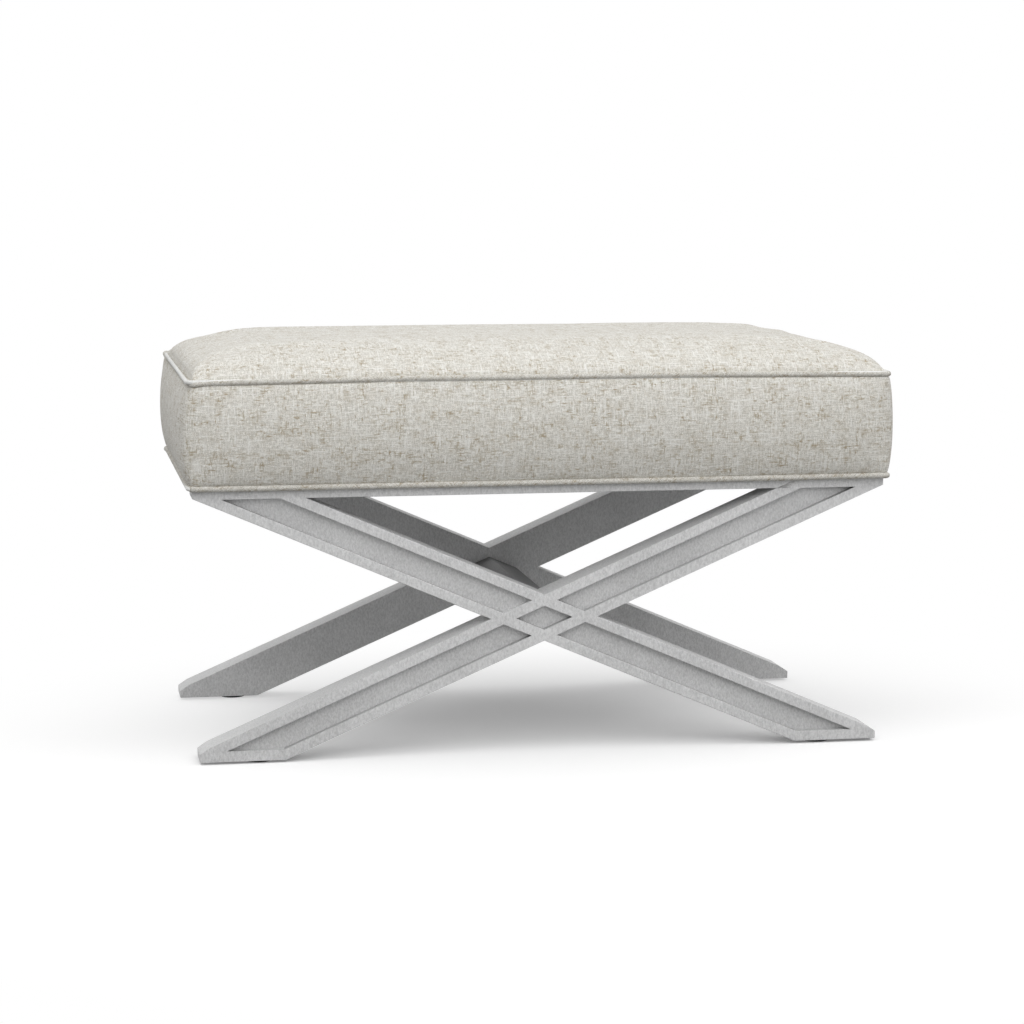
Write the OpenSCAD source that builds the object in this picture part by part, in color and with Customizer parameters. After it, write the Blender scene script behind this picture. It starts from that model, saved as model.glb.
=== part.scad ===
// Upholstered ottoman: a boxed, welted seat on two crossed-leg frames and a stretcher.
// The origin is on the floor below the middle of the seat. X runs along the ottoman,
// -Y is the front and Z is up.

/* [X frames] */
// Width over the feet of one frame
foot_span = 782; // [640:1:960]
// Width over the upper tips of one frame
tip_span = 792; // [650:1:970]
// Height of a frame, without the glides
frame_h = 306.4; // [250:0.1:380]
// Depth over the outer faces of both frames
frame_depth = 425; // [340:1:520]
// Width of a leg, square to its slope
leg_w = 48.5; // [40:0.5:60]
// Thickness of a leg, front to back
leg_t = 42; // [32:0.5:50]
// Length of the flat under each foot
foot_flat = 96; // [85:1:115]
// Height of the upright end of a foot
foot_end_h = 9; // [6:0.1:11]
// Length of the chamfer at the tip of a foot
foot_chamfer = 11; // [8:0.5:26]
// Width of the raised border along a leg
border_w = 11.5; // [8:0.5:16]
// Height of the raised border above the foot's flat
foot_border = 12; // [8:0.5:18]
// Depth of the recessed panels in the outer face
recess_depth = 9; // [3:0.5:12]
// Height of the top rail between the legs
rail_h = 11; // [9:0.5:16]

/* [Stretcher and glides] */
// Width of the stretcher, square to its faces
stretcher_w = 28; // [22:0.5:34]
// Diameter of a glide
glide_d = 32; // [20:1:36]
// Height of a glide below the foot
glide_h = 3; // [2:0.5:6]
// Distance from the foot's end to the middle of its glide
glide_inset = 66.5; // [40:0.5:75]

/* [Seat] */
// Reach of the seat's welts beyond the frames' tips, on each side
seat_reach = 4; // [0:0.5:12]
// Reach of the seat's welts beyond the frames' faces, front and back
seat_overhang = 6; // [3:0.5:16]
// Height from the middle of the lower welt to the middle of the upper welt
band_h = 118; // [90:1:160]
// Height of the crown above the upper welt
crown_h = 37; // [15:1:50]
// Distance over which the crown rises from the seat's ends
crown_run_x = 260; // [90:1:320]
// Distance over which the crown rises from the seat's front and back
crown_run_y = 125; // [60:1:180]
// Power of the crown's curve from the ends, where 2 is an ellipse and more is squarer
crown_power_x = 2.5; // [1.6:0.05:3.5]
// Power of the crown's curve from the front and back
crown_power_y = 1.75; // [1.6:0.05:3.5]
// How far the band swells beyond the welts
band_bulge = 11; // [4:0.5:18]
// Diameter of the welts
welt_d = 6; // [4:0.5:9]
// Radius of the welts at the seat's corners
welt_corner_r = 8; // [6:0.5:20]
// Thickness of the cover cloth
cloth_t = 1.2; // [0.6:0.1:2]
// Thickness of the wrap between the foam and the top of the cover
wrap_t = 12; // [8:1:18]

/* [Seat frame] */
// Width of a seat rail
seat_rail_w = 45; // [36:1:60]
// Height of a seat rail
seat_rail_h = 38; // [30:1:45]
// Height of the rail across the middle
cross_rail_h = 25; // [16:1:28]
// Length of a corner block's sides
block_l = 60; // [35:1:80]
// Width of a webbing strip
webbing_w = 50; // [40:1:60]
// Number of webbing strips that run from front to back
webbing_across = 7; // [5:1:9]
// Number of webbing strips that run from end to end
webbing_along = 3; // [2:1:4]

/* [Joinery] */
// Diameter of the dowels that hold the top rails
rail_dowel_d = 5; // [4:0.5:6]
// Length of the dowels that hold the top rails
rail_dowel_l = 40; // [24:1:50]
// Diameter of the dowels that hold the stretcher
stretcher_dowel_d = 10; // [8:0.5:12]
// Diameter of the seat frame's dowels
seat_dowel_d = 8; // [6:0.5:12]
// Length of the seat frame's dowels
seat_dowel_l = 50; // [30:1:60]
// Shank diameter of the screws that hold the seat
screw_d = 4.5; // [3.5:0.1:5.5]
// Length of the screws that hold the seat
screw_l = 36; // [26:1:44]
// Distance between the staples at the ends of the dust cover
staple_pitch = 62; // [40:1:100]

/* [Hidden] */

// Smoothness of round pieces
$fn = 48;
// Overrun of every cut
over = 1;

// Clearances
bore_gap = 0.05;
soft_gap = 0.3;
seam_gap = 0.1;

// Finishes
silver_leaf = [0.74, 0.74, 0.73];
bare_wood = [0.80, 0.66, 0.46];
linen = [0.82, 0.80, 0.75];
black = [0.09, 0.09, 0.09];
steel = [0.62, 0.63, 0.65];
jute = [0.66, 0.55, 0.38];
foam_yellow = [0.93, 0.87, 0.64];
white_fibre = [0.95, 0.95, 0.93];

// Frame geometry: each leg runs through the middle of the frame, and its lower edge
// meets the floor side of the frame where the foot's flat begins
frame_bottom = glide_h;
frame_top = glide_h + frame_h;
cross_z = glide_h + frame_h / 2;
foot_half = foot_span / 2;
tip_half = tip_span / 2;
flat_x = foot_half - foot_flat;
leg_angle = atan(frame_h / 2 / flat_x) - asin(leg_w / 2 / norm([flat_x, frame_h / 2]));
leg_slope = tan(leg_angle);
leg_rise = leg_w / cos(leg_angle);
leg_reach = foot_span + tip_span;
face_y = -frame_depth / 2;
inner_y = face_y + leg_t;
leg_mid_y = face_y + leg_t / 2;

// The raised border across the top ends in line with the top rail's lower edge
top_border = rail_h;

// Where a leg's upper edge passes a height
function upper_edge_x(z) = (z - cross_z - leg_rise / 2) / leg_slope;
function upper_edge_z(x) = cross_z + leg_slope * x + leg_rise / 2;

rail_low_z = frame_top - rail_h;
rail_joint_x = upper_edge_x(frame_top - rail_h / 2);
rail_dowel_pitch = leg_t / 2;

// Stretcher: a rhombus whose faces run parallel to the legs
stretcher_half_w = stretcher_w / 2 / sin(leg_angle);
stretcher_half_h = stretcher_w / 2 / cos(leg_angle);
stretcher_dowel_share = 0.4;
stretcher_dowel_x = stretcher_half_w * stretcher_dowel_share;
dowel_end_wall = 4;
stretcher_dowel_depth = leg_t / 2 - dowel_end_wall;

// Glides
glide_x = foot_half - glide_inset;
glide_rim = 1;
glide_nail_d = 3.5;
glide_nail_l = 20;

// Seat, from the frames up
dust_t = 0.6;
seat_half_x = tip_half + seat_reach;
seat_half_y = frame_depth / 2 + seat_overhang;
welt_r = welt_d / 2;
welt_lift = 2;
lower_welt_z = frame_top + welt_lift;
upper_welt_z = lower_welt_z + band_h;
band_low_z = lower_welt_z + welt_r + seam_gap;
band_high_z = upper_welt_z - welt_r - seam_gap;
crown_base_z = upper_welt_z + welt_r;
hem_z = frame_top + dust_t;
seat_rail_z = hem_z + cloth_t;
seat_rail_top = seat_rail_z + seat_rail_h;
hem_in = welt_r + seam_gap;
rail_in = hem_in + cloth_t + soft_gap;
rail_half_x = seat_half_x - rail_in;
rail_half_y = seat_half_y - rail_in;
hem_w = 15;
hem_corner = welt_corner_r + hem_in;

// Screws that hold the seat, as shares of the top rail's lower half length
screw_shares = [-0.8, -0.3, 0.3, 0.8];
screw_head_d = 2 * screw_d;
screw_head_h = screw_d / 2;

// Webbing and deck cloth
webbing_t = 1.5;
webbing_margin = 10;
deck_t = 0.8;
deck_margin = 6;
webbing_fold = seat_rail_w - webbing_margin;
along_z = seat_rail_top;
across_z = along_z + webbing_t;
deck_z = across_z + webbing_t;
foam_z = deck_z + deck_t + soft_gap;

// Seat frame joints
seat_dowel_share = 0.22;
seat_dowel_off = seat_rail_w * seat_dowel_share;

// Staples
staple_w = 10;
staple_wire_d = 0.7;
staple_leg_l = 8;
staple_edge = 3.5;
staple_x = rail_half_x - hem_w - staple_edge;
staple_span = -inner_y - staple_w;
staple_count = max(2, floor(2 * staple_span / staple_pitch));

// Form of the cushion
bulge_corner_share = 0.45;
bulge_reach = 20;
bulge_power = 0.55;
crown_sum_power = 3;
seam_in = hem_in + soft_gap;
seam_rise = 1;
crown_set_in = 0.8;
crown_in = seam_in + crown_set_in;
ridge_half = 12;
ring_power = 2.2;
spread_share = 0.35;
ease_share = 0.6;
arc_steps = 2;
long_steps = 10;
short_steps = 8;
band_steps = 6;
crown_steps = 9;

// Rings of the hidden layers' crown
inner_steps = [0, 1, 2, 3, 5, 7, 9];

// Points along one side of the cushion: distance along it, distance outwards, turn
function eased(t) = (1 - ease_share) * t + ease_share * (1 - cos(180 * t)) / 2;
function side_columns(half, r, steps) = concat(
    [for (i = [0 : arc_steps - 1])
        let (turn = -45 + 45 * i / arc_steps)
        [-(half - r) + r * sin(turn), -r + r * cos(turn), turn]],
    [for (i = [0 : steps])
        [(half - r) * (2 * eased(i / steps) - 1), 0, 0]],
    [for (i = [1 : arc_steps])
        let (turn = 45 * i / arc_steps)
        [half - r + r * sin(turn), -r + r * cos(turn), turn]]
);

// Sides run front, right, rear, left, each turned a quarter from the one before
function is_long(side) = side % 2 == 0;
function half_along(side) = is_long(side) ? seat_half_x : seat_half_y;
function half_across(side) = is_long(side) ? seat_half_y : seat_half_x;
function turned(side, p) = [
    p[0] * cos(90 * side) - p[1] * sin(90 * side),
    p[0] * sin(90 * side) + p[1] * cos(90 * side)
];

// Corner radius of the outline that lies a given distance inside the welts
function corner_at(inset) = min(
    welt_corner_r + spread_share * inset,
    seat_half_y - inset
);

// One side of an outline, swollen outwards by the bulge: points with their normals
function side_line(side, inset, bulge) =
    let (half = half_along(side) - inset, r = corner_at(inset))
    [for (c = side_columns(half, r, is_long(side) ? long_steps : short_steps))
        let (
            from_corner = half - abs(c[0]),
            fill = bulge_corner_share
                + (1 - bulge_corner_share) * (1 - exp(-from_corner / bulge_reach)),
            push = bulge * fill,
            out = half_across(side) - inset + c[1] + push * cos(c[2]),
            along = c[0] + push * sin(c[2])
        )
        [turned(side, [along, -out]), turned(side, [sin(c[2]), -cos(c[2])])]];

// A whole outline leaves out each side's last point, which the next side begins with
function outline(inset, bulge) = [
    for (side = [0 : 3])
        let (line = side_line(side, inset, bulge))
            for (i = [0 : len(line) - 2]) line[i]
];

// Height of the crown above the upper welt: the two curves' falls add up by a power sum,
// which keeps the corners low
function fall(from_edge, run, power) =
    let (u = max(0, 1 - max(0, from_edge) / run))
    1 - pow(1 - pow(u, power), 1 / power);
function crown_z(p) =
    let (
        fall_x = fall(seat_half_x - abs(p[0]), crown_run_x, crown_power_x),
        fall_y = fall(seat_half_y - abs(p[1]), crown_run_y, crown_power_y)
    )
    crown_base_z + crown_h * max(0, 1 - power_sum(fall_x, fall_y));
function power_sum(a, b) =
    pow(pow(a, crown_sum_power) + pow(b, crown_sum_power), 1 / crown_sum_power);
probe = 0.4;
function crown_normal(p) =
    let (
        dx = (crown_z(p + [probe, 0]) - crown_z(p - [probe, 0])) / (2 * probe),
        dy = (crown_z(p + [0, probe]) - crown_z(p - [0, probe])) / (2 * probe),
        n = [-dx, -dy, 1]
    )
    n / norm(n);

// Rings of the cushion's form, all sunk below the cover's face by the same depth
function bulge_at(t) = band_bulge * pow(sin(180 * t), bulge_power);
function band_z(t) = band_low_z + t * (band_high_z - band_low_z);
function band_side(side, depth) = [
    for (j = [0 : band_steps])
        let (t = j / band_steps)
        [for (q = side_line(side, depth, bulge_at(t))) [q[0][0], q[0][1], band_z(t)]]
];
function band_ring(j, inset, bulge) = [
    for (q = outline(inset, bulge)) [q[0][0], q[0][1], band_z(j / band_steps)]
];
function flat_ring(inset, z) = [for (q = outline(inset, 0)) [q[0][0], q[0][1], z]];
function ring_inset(i, first) =
    first + (seat_half_y - ridge_half - first) * pow(i / crown_steps, ring_power);
function crown_ring(i, first, depth) = [
    for (q = outline(ring_inset(i, first), 0))
        let (n = crown_normal(q[0]))
        [q[0][0], q[0][1], crown_z(q[0])] - depth * n
];
function sunk_ring(i, first, drop) = [
    for (q = outline(ring_inset(i, first), 0)) [q[0][0], q[0][1], crown_z(q[0]) - drop]
];

// Faces between rings of points, each face a triangle
function at(ring, i, n) = ring * n + i % n;
function wall_faces(rings, n, start, closed, inward) = [
    for (j = [0 : rings - 2])
        for (i = [0 : n - (closed ? 1 : 2)])
            let (
                a = start + at(j, i, n),
                b = start + at(j, i + 1, n),
                c = start + at(j + 1, i + 1, n),
                d = start + at(j + 1, i, n)
            )
            for (f = inward ? [[a, c, d], [a, b, c]] : [[a, d, c], [a, c, b]]) f
];
function fan_faces(start, n, centre, up) = [
    for (i = [0 : n - 1])
        let (a = start + i, b = start + (i + 1) % n)
        up ? [a, centre, b] : [b, centre, a]
];
function flat_list(lists) = [for (l = lists) for (p = l) p];
function middle(ring) = [0, 0, ring[0][2]];
function last(list) = list[len(list) - 1];

// Solid between rings, closed by a fan at each end
module ring_solid(rings) {
    n = len(rings[0]);
    count = len(rings);
    points = concat(flat_list(rings), [middle(rings[0]), middle(last(rings))]);
    polyhedron(points, concat(
        wall_faces(count, n, 0, true, false),
        fan_faces(0, n, count * n, false),
        fan_faces((count - 1) * n, n, count * n + 1, true)
    ));
}

// Shell between outer and inner rings, closed over the top and open below
module ring_shell(outer, inner) {
    n = len(outer[0]);
    count = len(outer);
    size = count * n;
    points = concat(
        flat_list(outer), flat_list(inner), [middle(last(outer)), middle(last(inner))]
    );
    polyhedron(points, concat(
        wall_faces(count, n, 0, true, false),
        wall_faces(count, n, size, true, true),
        fan_faces((count - 1) * n, n, 2 * size, true),
        fan_faces(size + (count - 1) * n, n, 2 * size + 1, false),
        [for (i = [0 : n - 1])
            let (a = i, b = (i + 1) % n, c = size + (i + 1) % n, d = size + i)
            for (f = [[a, b, c], [a, c, d]]) f]
    ));
}

// Sheet between an outer and an inner face, closed round its four edges
module sheet_solid(outer, inner) {
    n = len(outer[0]);
    count = len(outer);
    size = count * n;
    points = concat(flat_list(outer), flat_list(inner));
    top = (count - 1) * n;
    polyhedron(points, concat(
        wall_faces(count, n, 0, false, false),
        wall_faces(count, n, size, false, true),
        [for (i = [0 : n - 2])
            for (f = [[i, i + 1, size + i + 1], [i, size + i + 1, size + i]]) f],
        [for (i = [top : top + n - 2])
            for (f = [[i, size + i + 1, i + 1], [i, size + i, size + i + 1]]) f],
        [for (j = [0 : count - 2])
            let (a = j * n, b = a + n)
            for (f = [[a, size + a, size + b], [a, size + b, b]]) f],
        [for (j = [0 : count - 2])
            let (a = j * n + n - 1, b = a + n)
            for (f = [[a, size + b, size + a], [a, b, size + b]]) f]
    ));
}

// Plate with an outline in X and Z, from one depth to another
module xz_plate(points, y0, y1) {
    translate([0, y1, 0]) rotate([90, 0, 0]) linear_extrude(y1 - y0) polygon(points);
}

// Box between two corners
module box(low, high) {
    translate(low) cube(high - low);
}

// Round bar along X, Y or Z
module bar_x(d, x0, x1, y, z) {
    translate([x0, y, z]) rotate([0, 90, 0]) cylinder(h = x1 - x0, d = d);
}
module bar_y(d, y0, y1, x, z) {
    translate([x, y1, z]) rotate([90, 0, 0]) cylinder(h = y1 - y0, d = d);
}
module bar_z(d, z0, z1, x, y) {
    translate([x, y, z0]) cylinder(h = z1 - z0, d = d);
}

// Sloped bar through the middle of the frame, rising to the right or to the left
module sloped_bar(dir, w, y0, y1) {
    translate([0, y0, cross_z]) rotate([0, -dir * leg_angle, 0])
        translate([-leg_reach / 2, 0, -w / 2]) cube([leg_reach, y1 - y0, w]);
}

// Recessed panels of a leg: its channel up to the other leg's edges, and the small
// rhombus in the middle of the crossing
module recess() {
    low = frame_bottom + foot_border;
    high = frame_top - top_border;
    back = face_y + recess_depth;
    channel_w = leg_w - 2 * border_w;
    intersection() {
        difference() {
            sloped_bar(1, channel_w, face_y - over, back);
            sloped_bar(-1, leg_w, face_y - 2 * over, back + over);
        }
        box([-leg_reach, face_y - 2 * over, low], [leg_reach, back + over, high]);
    }
    intersection() {
        sloped_bar(1, channel_w, face_y - over, back);
        sloped_bar(-1, channel_w, face_y - over, back);
    }
}

// A leg that rises to the right, before its half lap is cut
module leg_blank() {
    chamfer_x = -foot_half + foot_chamfer;
    chamfer_z = upper_edge_z(chamfer_x);
    end_z = frame_bottom + foot_end_h;
    fall = (chamfer_z - end_z) / foot_chamfer;
    difference() {
        intersection() {
            sloped_bar(1, leg_w, face_y, inner_y);
            xz_plate([
                [-foot_half, frame_bottom], [foot_half, frame_bottom],
                [tip_half, frame_top], [-tip_half, frame_top]
            ], face_y, inner_y);
        }
        xz_plate([
            [-foot_half - over, end_z - over * fall], [chamfer_x, chamfer_z],
            [chamfer_x, chamfer_z + leg_w], [-foot_half - over, chamfer_z + leg_w]
        ], face_y - over, inner_y + over);
        recess();
        rail_dowel_bars(rail_dowel_d + 2 * bore_gap);
        stretcher_dowel_bars(stretcher_dowel_d + 2 * bore_gap);
        bar_z(glide_nail_d + 2 * bore_gap, frame_bottom - over,
            frame_bottom + glide_nail_l, -glide_x, leg_mid_y);
    }
}

// The rising leg keeps the outer half of the crossing, and the falling leg the inner half
module leg_rising() {
    color(silver_leaf)
        difference() {
            leg_blank();
            sloped_bar(-1, leg_w, leg_mid_y, inner_y + over);
        }
}
module leg_falling() {
    color(silver_leaf)
        difference() {
            mirror([1, 0, 0]) leg_blank();
            sloped_bar(1, leg_w, face_y - over, leg_mid_y);
        }
}

// Top rail: flush with the legs' outer, inner and upper faces
module top_rail() {
    low_x = upper_edge_x(rail_low_z);
    high_x = upper_edge_x(frame_top);
    color(silver_leaf)
        difference() {
            xz_plate([
                [-low_x, rail_low_z], [low_x, rail_low_z],
                [high_x, frame_top], [-high_x, frame_top]
            ], face_y, inner_y);
            rail_dowel_bars(rail_dowel_d + 2 * bore_gap);
            seat_screw_bodies(2 * bore_gap);
        }
}

// Dowels between a top rail and its legs
module rail_dowel_bars(d) {
    for (side = [-1, 1])
        for (row = [-1, 1])
            bar_x(d, side * rail_joint_x - rail_dowel_l / 2,
                side * rail_joint_x + rail_dowel_l / 2,
                leg_mid_y + row * rail_dowel_pitch / 2, frame_top - rail_h / 2);
}
module rail_dowels() {
    color(bare_wood) rail_dowel_bars(rail_dowel_d);
}

// Dowels between the stretcher and the crossing of the front frame
module stretcher_dowel_bars(d) {
    for (side = [-1, 1])
        bar_y(d, inner_y - stretcher_dowel_depth, inner_y + stretcher_dowel_depth,
            side * stretcher_dowel_x, cross_z);
}
module stretcher_dowels() {
    color(bare_wood) {
        stretcher_dowel_bars(stretcher_dowel_d);
        rotate([0, 0, 180]) stretcher_dowel_bars(stretcher_dowel_d);
    }
}

// Stretcher between the inner faces of the two frames
module stretcher() {
    color(silver_leaf)
        difference() {
            xz_plate([
                [-stretcher_half_w, cross_z], [0, cross_z - stretcher_half_h],
                [stretcher_half_w, cross_z], [0, cross_z + stretcher_half_h]
            ], inner_y, -inner_y);
            stretcher_dowel_bars(stretcher_dowel_d + 2 * bore_gap);
            rotate([0, 0, 180]) stretcher_dowel_bars(stretcher_dowel_d + 2 * bore_gap);
        }
}

// Nailed glide under a front foot: a pad with a chamfered rim, and its nail
module glide(side) {
    color(black)
        translate([side * glide_x, leg_mid_y, 0]) {
            cylinder(h = glide_rim, d1 = glide_d - 2 * glide_rim, d2 = glide_d);
            translate([0, 0, glide_rim]) cylinder(h = glide_h - glide_rim, d = glide_d);
            translate([0, 0, glide_h])
                cylinder(h = glide_nail_l - bore_gap, d = glide_nail_d);
        }
}

// Countersunk screws up through a top rail into the seat frame
module seat_screw_bodies(gap) {
    for (share = screw_shares)
        translate([share * upper_edge_x(rail_low_z), leg_mid_y, rail_low_z]) {
            cylinder(h = screw_head_h, d1 = screw_head_d + gap, d2 = screw_d + gap);
            translate([0, 0, screw_head_h])
                cylinder(h = screw_l - screw_head_h + gap, d = screw_d + gap);
        }
}
module seat_screws() {
    color(steel) seat_screw_bodies(0);
}
module all_screw_holes() {
    seat_screw_bodies(2 * bore_gap);
    rotate([0, 0, 180]) seat_screw_bodies(2 * bore_gap);
}

// Seat frame: long rails in front and behind, short rails and a cross rail between.
// The frame's outer corners are rounded so that they don't cut the cover
module seat_rail_long() {
    r = corner_at(rail_in);
    back_y = -rail_half_y + seat_rail_w;
    color(bare_wood)
        difference() {
            union() {
                box([-rail_half_x, -rail_half_y + r, seat_rail_z],
                    [rail_half_x, back_y, seat_rail_top]);
                box([-rail_half_x + r, -rail_half_y, seat_rail_z],
                    [rail_half_x - r, back_y, seat_rail_top]);
                for (side = [-1, 1])
                    bar_z(2 * r, seat_rail_z, seat_rail_top,
                        side * (rail_half_x - r), -rail_half_y + r);
            }
            seat_dowel_bars(seat_dowel_d + 2 * bore_gap);
            all_screw_holes();
        }
}
module seat_rail_short() {
    color(bare_wood)
        difference() {
            box([rail_half_x - seat_rail_w, -rail_half_y + seat_rail_w, seat_rail_z],
                [rail_half_x, rail_half_y - seat_rail_w, seat_rail_top]);
            seat_dowel_bars(seat_dowel_d + 2 * bore_gap);
            staple_legs(2 * bore_gap);
        }
}
module seat_cross_rail() {
    color(bare_wood)
        difference() {
            box([-seat_rail_w / 2, -rail_half_y + seat_rail_w, seat_rail_z],
                [seat_rail_w / 2, rail_half_y - seat_rail_w, seat_rail_z + cross_rail_h]);
            seat_dowel_bars(seat_dowel_d + 2 * bore_gap);
        }
}

// Dowels through the long rails' inner faces into the rails between them
module seat_dowel_bars(d) {
    joint_y = rail_half_y - seat_rail_w;
    short_x = rail_half_x - seat_rail_w / 2;
    for (end = [-1, 1])
        for (off = [-1, 1]) {
            for (side = [-1, 1])
                bar_y(d, end * joint_y - seat_dowel_l / 2, end * joint_y + seat_dowel_l / 2,
                    side * short_x + off * seat_dowel_off, seat_rail_z + seat_rail_h / 2);
            bar_y(d, end * joint_y - seat_dowel_l / 2, end * joint_y + seat_dowel_l / 2,
                off * seat_dowel_off, seat_rail_z + cross_rail_h / 2);
        }
}
module seat_frame_dowels() {
    color(bare_wood) seat_dowel_bars(seat_dowel_d);
}

// Glue blocks in the seat frame's inner corners
module corner_blocks() {
    x = rail_half_x - seat_rail_w;
    y = rail_half_y - seat_rail_w;
    color(bare_wood)
        for (mx = [0, 1])
            for (my = [0, 1])
                mirror([mx, 0, 0]) mirror([0, my, 0])
                    translate([0, 0, seat_rail_z]) linear_extrude(cross_rail_h)
                        polygon([[x, y], [x - block_l, y], [x, y - block_l]]);
}

// Middles of equal shares of a span from -half to half
function strip_places(count, half) =
    [for (i = [0 : count - 1]) half * (2 * (i + 0.5) / count - 1)];

// Webbing: one layer end to end, and one front to back above it with folded ends
module webbing_end_to_end() {
    span = rail_half_y - seat_rail_w - webbing_margin;
    color(jute)
        for (y = strip_places(webbing_along, span))
            box([-rail_half_x + webbing_margin, y - webbing_w / 2, along_z],
                [rail_half_x - webbing_margin, y + webbing_w / 2, along_z + webbing_t]);
}
module webbing_front_to_back() {
    span = rail_half_x - seat_rail_w - webbing_margin;
    end_y = rail_half_y - webbing_margin;
    color(jute)
        for (x = strip_places(webbing_across, span)) {
            box([x - webbing_w / 2, -end_y, across_z],
                [x + webbing_w / 2, end_y, across_z + webbing_t]);
            for (side = [0, 1])
                mirror([0, side, 0])
                    box([x - webbing_w / 2, -end_y, along_z],
                        [x + webbing_w / 2, -end_y + webbing_fold, across_z]);
        }
}
module deck_cloth() {
    color(jute)
        box([-rail_half_x + deck_margin, -rail_half_y + deck_margin, deck_z],
            [rail_half_x - deck_margin, rail_half_y - deck_margin, deck_z + deck_t]);
}

// Foam block with straight sides over the seat rails and a crowned top
foam_first = crown_in + cloth_t + wrap_t;
foam_shoulder_z = upper_welt_z - wrap_t;
module foam_core() {
    color(foam_yellow)
        ring_solid(concat(
            [for (z = [foam_z, foam_shoulder_z]) flat_ring(rail_in, z)],
            [for (i = inner_steps) sunk_ring(i, foam_first, wrap_t + cloth_t)]
        ));
}

// Batting between the foam or the seat rails and the cover
batting_low_z = band_low_z + cloth_t + soft_gap;
function batting_height(j) = max(batting_low_z, band_z(j / band_steps));
function at_height(ring, z) = [for (p = ring) [p[0], p[1], z]];
module batting_wrap() {
    skin = cloth_t + soft_gap;
    outer = concat(
        [for (j = [0 : 2 : band_steps])
            at_height(band_ring(j, skin, bulge_at(j / band_steps)), batting_height(j))],
        [flat_ring(seam_in + skin, upper_welt_z)],
        [for (i = inner_steps) crown_ring(i, crown_in, skin)]
    );
    inner = concat(
        [for (j = [0 : 2 : band_steps])
            flat_ring(rail_in - soft_gap, min(batting_height(j), foam_shoulder_z))],
        [flat_ring(rail_in - soft_gap, foam_shoulder_z + soft_gap)],
        [for (i = inner_steps)
            sunk_ring(i, foam_first - soft_gap, wrap_t + cloth_t - soft_gap)]
    );
    color(white_fibre) ring_shell(outer, inner);
}

// Top panel of the cover, from behind the upper welt over the crown
module cover_top() {
    outer = concat(
        [flat_ring(seam_in, upper_welt_z + seam_rise)],
        [for (i = [0 : crown_steps]) crown_ring(i, crown_in, 0)]
    );
    inner = concat(
        [flat_ring(seam_in + cloth_t, upper_welt_z + seam_rise)],
        [for (i = [0 : crown_steps]) crown_ring(i, crown_in, cloth_t)]
    );
    color(linen) ring_shell(outer, inner);
}

// One side of the band, with the hem that turns under the seat rail behind the welt
module band_panel(side) {
    along = half_along(side) - hem_corner;
    across = half_across(side);
    wall_y = -across + hem_in;
    color(linen) {
        sheet_solid(band_side(side, 0), band_side(side, cloth_t));
        rotate([0, 0, 90 * side]) {
            box([-along, -across, band_low_z], [along, wall_y + cloth_t, band_low_z + cloth_t]);
            box([-along, wall_y, hem_z], [along, wall_y + cloth_t, band_low_z + cloth_t]);
            translate([0, 0, hem_z]) linear_extrude(cloth_t)
                polygon([
                    [-along, wall_y], [along, wall_y],
                    [along - hem_w, wall_y + hem_w], [-along + hem_w, wall_y + hem_w]
                ]);
        }
    }
}

// Tube round the seat: straight runs joined by quarter turns
module welt_path(r, z) {
    run_x = seat_half_x - welt_corner_r;
    run_y = seat_half_y - welt_corner_r;
    for (side = [-1, 1]) {
        bar_x(2 * r, -run_x, run_x, side * seat_half_y, z);
        bar_y(2 * r, -run_y, run_y, side * seat_half_x, z);
    }
    for (side = [0 : 3])
        translate([
            (side == 0 || side == 3 ? 1 : -1) * run_x, (side < 2 ? 1 : -1) * run_y, z
        ])
            rotate([0, 0, 90 * side])
                rotate_extrude(angle = 90) translate([welt_corner_r, 0]) circle(r = r);
}
module welt(z) {
    color(linen)
        difference() {
            welt_path(welt_r, z);
            welt_path(welt_r - cloth_t / 2, z);
        }
}
module welt_cord(z) {
    color(white_fibre) welt_path(welt_r - cloth_t / 2 - bore_gap, z);
}

// Dust cover under the seat, with holes for the screws and staples
module dust_cover() {
    edge = hem_in + hem_w / 2;
    color(black)
        difference() {
            box([-seat_half_x + edge, -seat_half_y + edge, frame_top],
                [seat_half_x - edge, seat_half_y - edge, frame_top + dust_t]);
            all_screw_holes();
            staple_legs(2 * bore_gap);
        }
}

// Staples in a row at each end of the dust cover, between the two frames
module at_staples() {
    for (side = [-1, 1])
        for (y = strip_places(staple_count, staple_span))
            translate([side * staple_x, y, frame_top]) children();
}
module staple_legs(gap) {
    half = (staple_wire_d + gap) / 2;
    at_staples()
        for (end = [-1, 1])
            translate([0, end * (staple_w - staple_wire_d) / 2, 0])
                box([-half, -half, -gap], [half, half, staple_leg_l + gap]);
}
module dust_cover_staples() {
    color(steel) {
        staple_legs(0);
        at_staples()
            box([-staple_wire_d / 2, -staple_w / 2, -staple_wire_d],
                [staple_wire_d / 2, staple_w / 2, 0]);
    }
}

// The rear frame is the front frame turned half round
module to_rear() {
    rotate([0, 0, 180]) children();
}

leg_rising();  // front_leg_rising
leg_falling();  // front_leg_falling
top_rail();  // front_top_rail
rail_dowels();  // front_rail_dowels
to_rear() leg_rising();  // rear_leg_rising
to_rear() leg_falling();  // rear_leg_falling
to_rear() top_rail();  // rear_top_rail
to_rear() rail_dowels();  // rear_rail_dowels
stretcher();
stretcher_dowels();
glide(-1);  // front_left_glide
glide(1);  // front_right_glide
to_rear() glide(1);  // rear_left_glide
to_rear() glide(-1);  // rear_right_glide
seat_screws();  // front_seat_screws
to_rear() seat_screws();  // rear_seat_screws
seat_rail_long();  // seat_rail_front
to_rear() seat_rail_long();  // seat_rail_rear
to_rear() seat_rail_short();  // seat_rail_left
seat_rail_short();  // seat_rail_right
seat_cross_rail();
corner_blocks();
seat_frame_dowels();
webbing_end_to_end();
webbing_front_to_back();
deck_cloth();
foam_core();
batting_wrap();
cover_top();
band_panel(0);  // band_front
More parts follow.
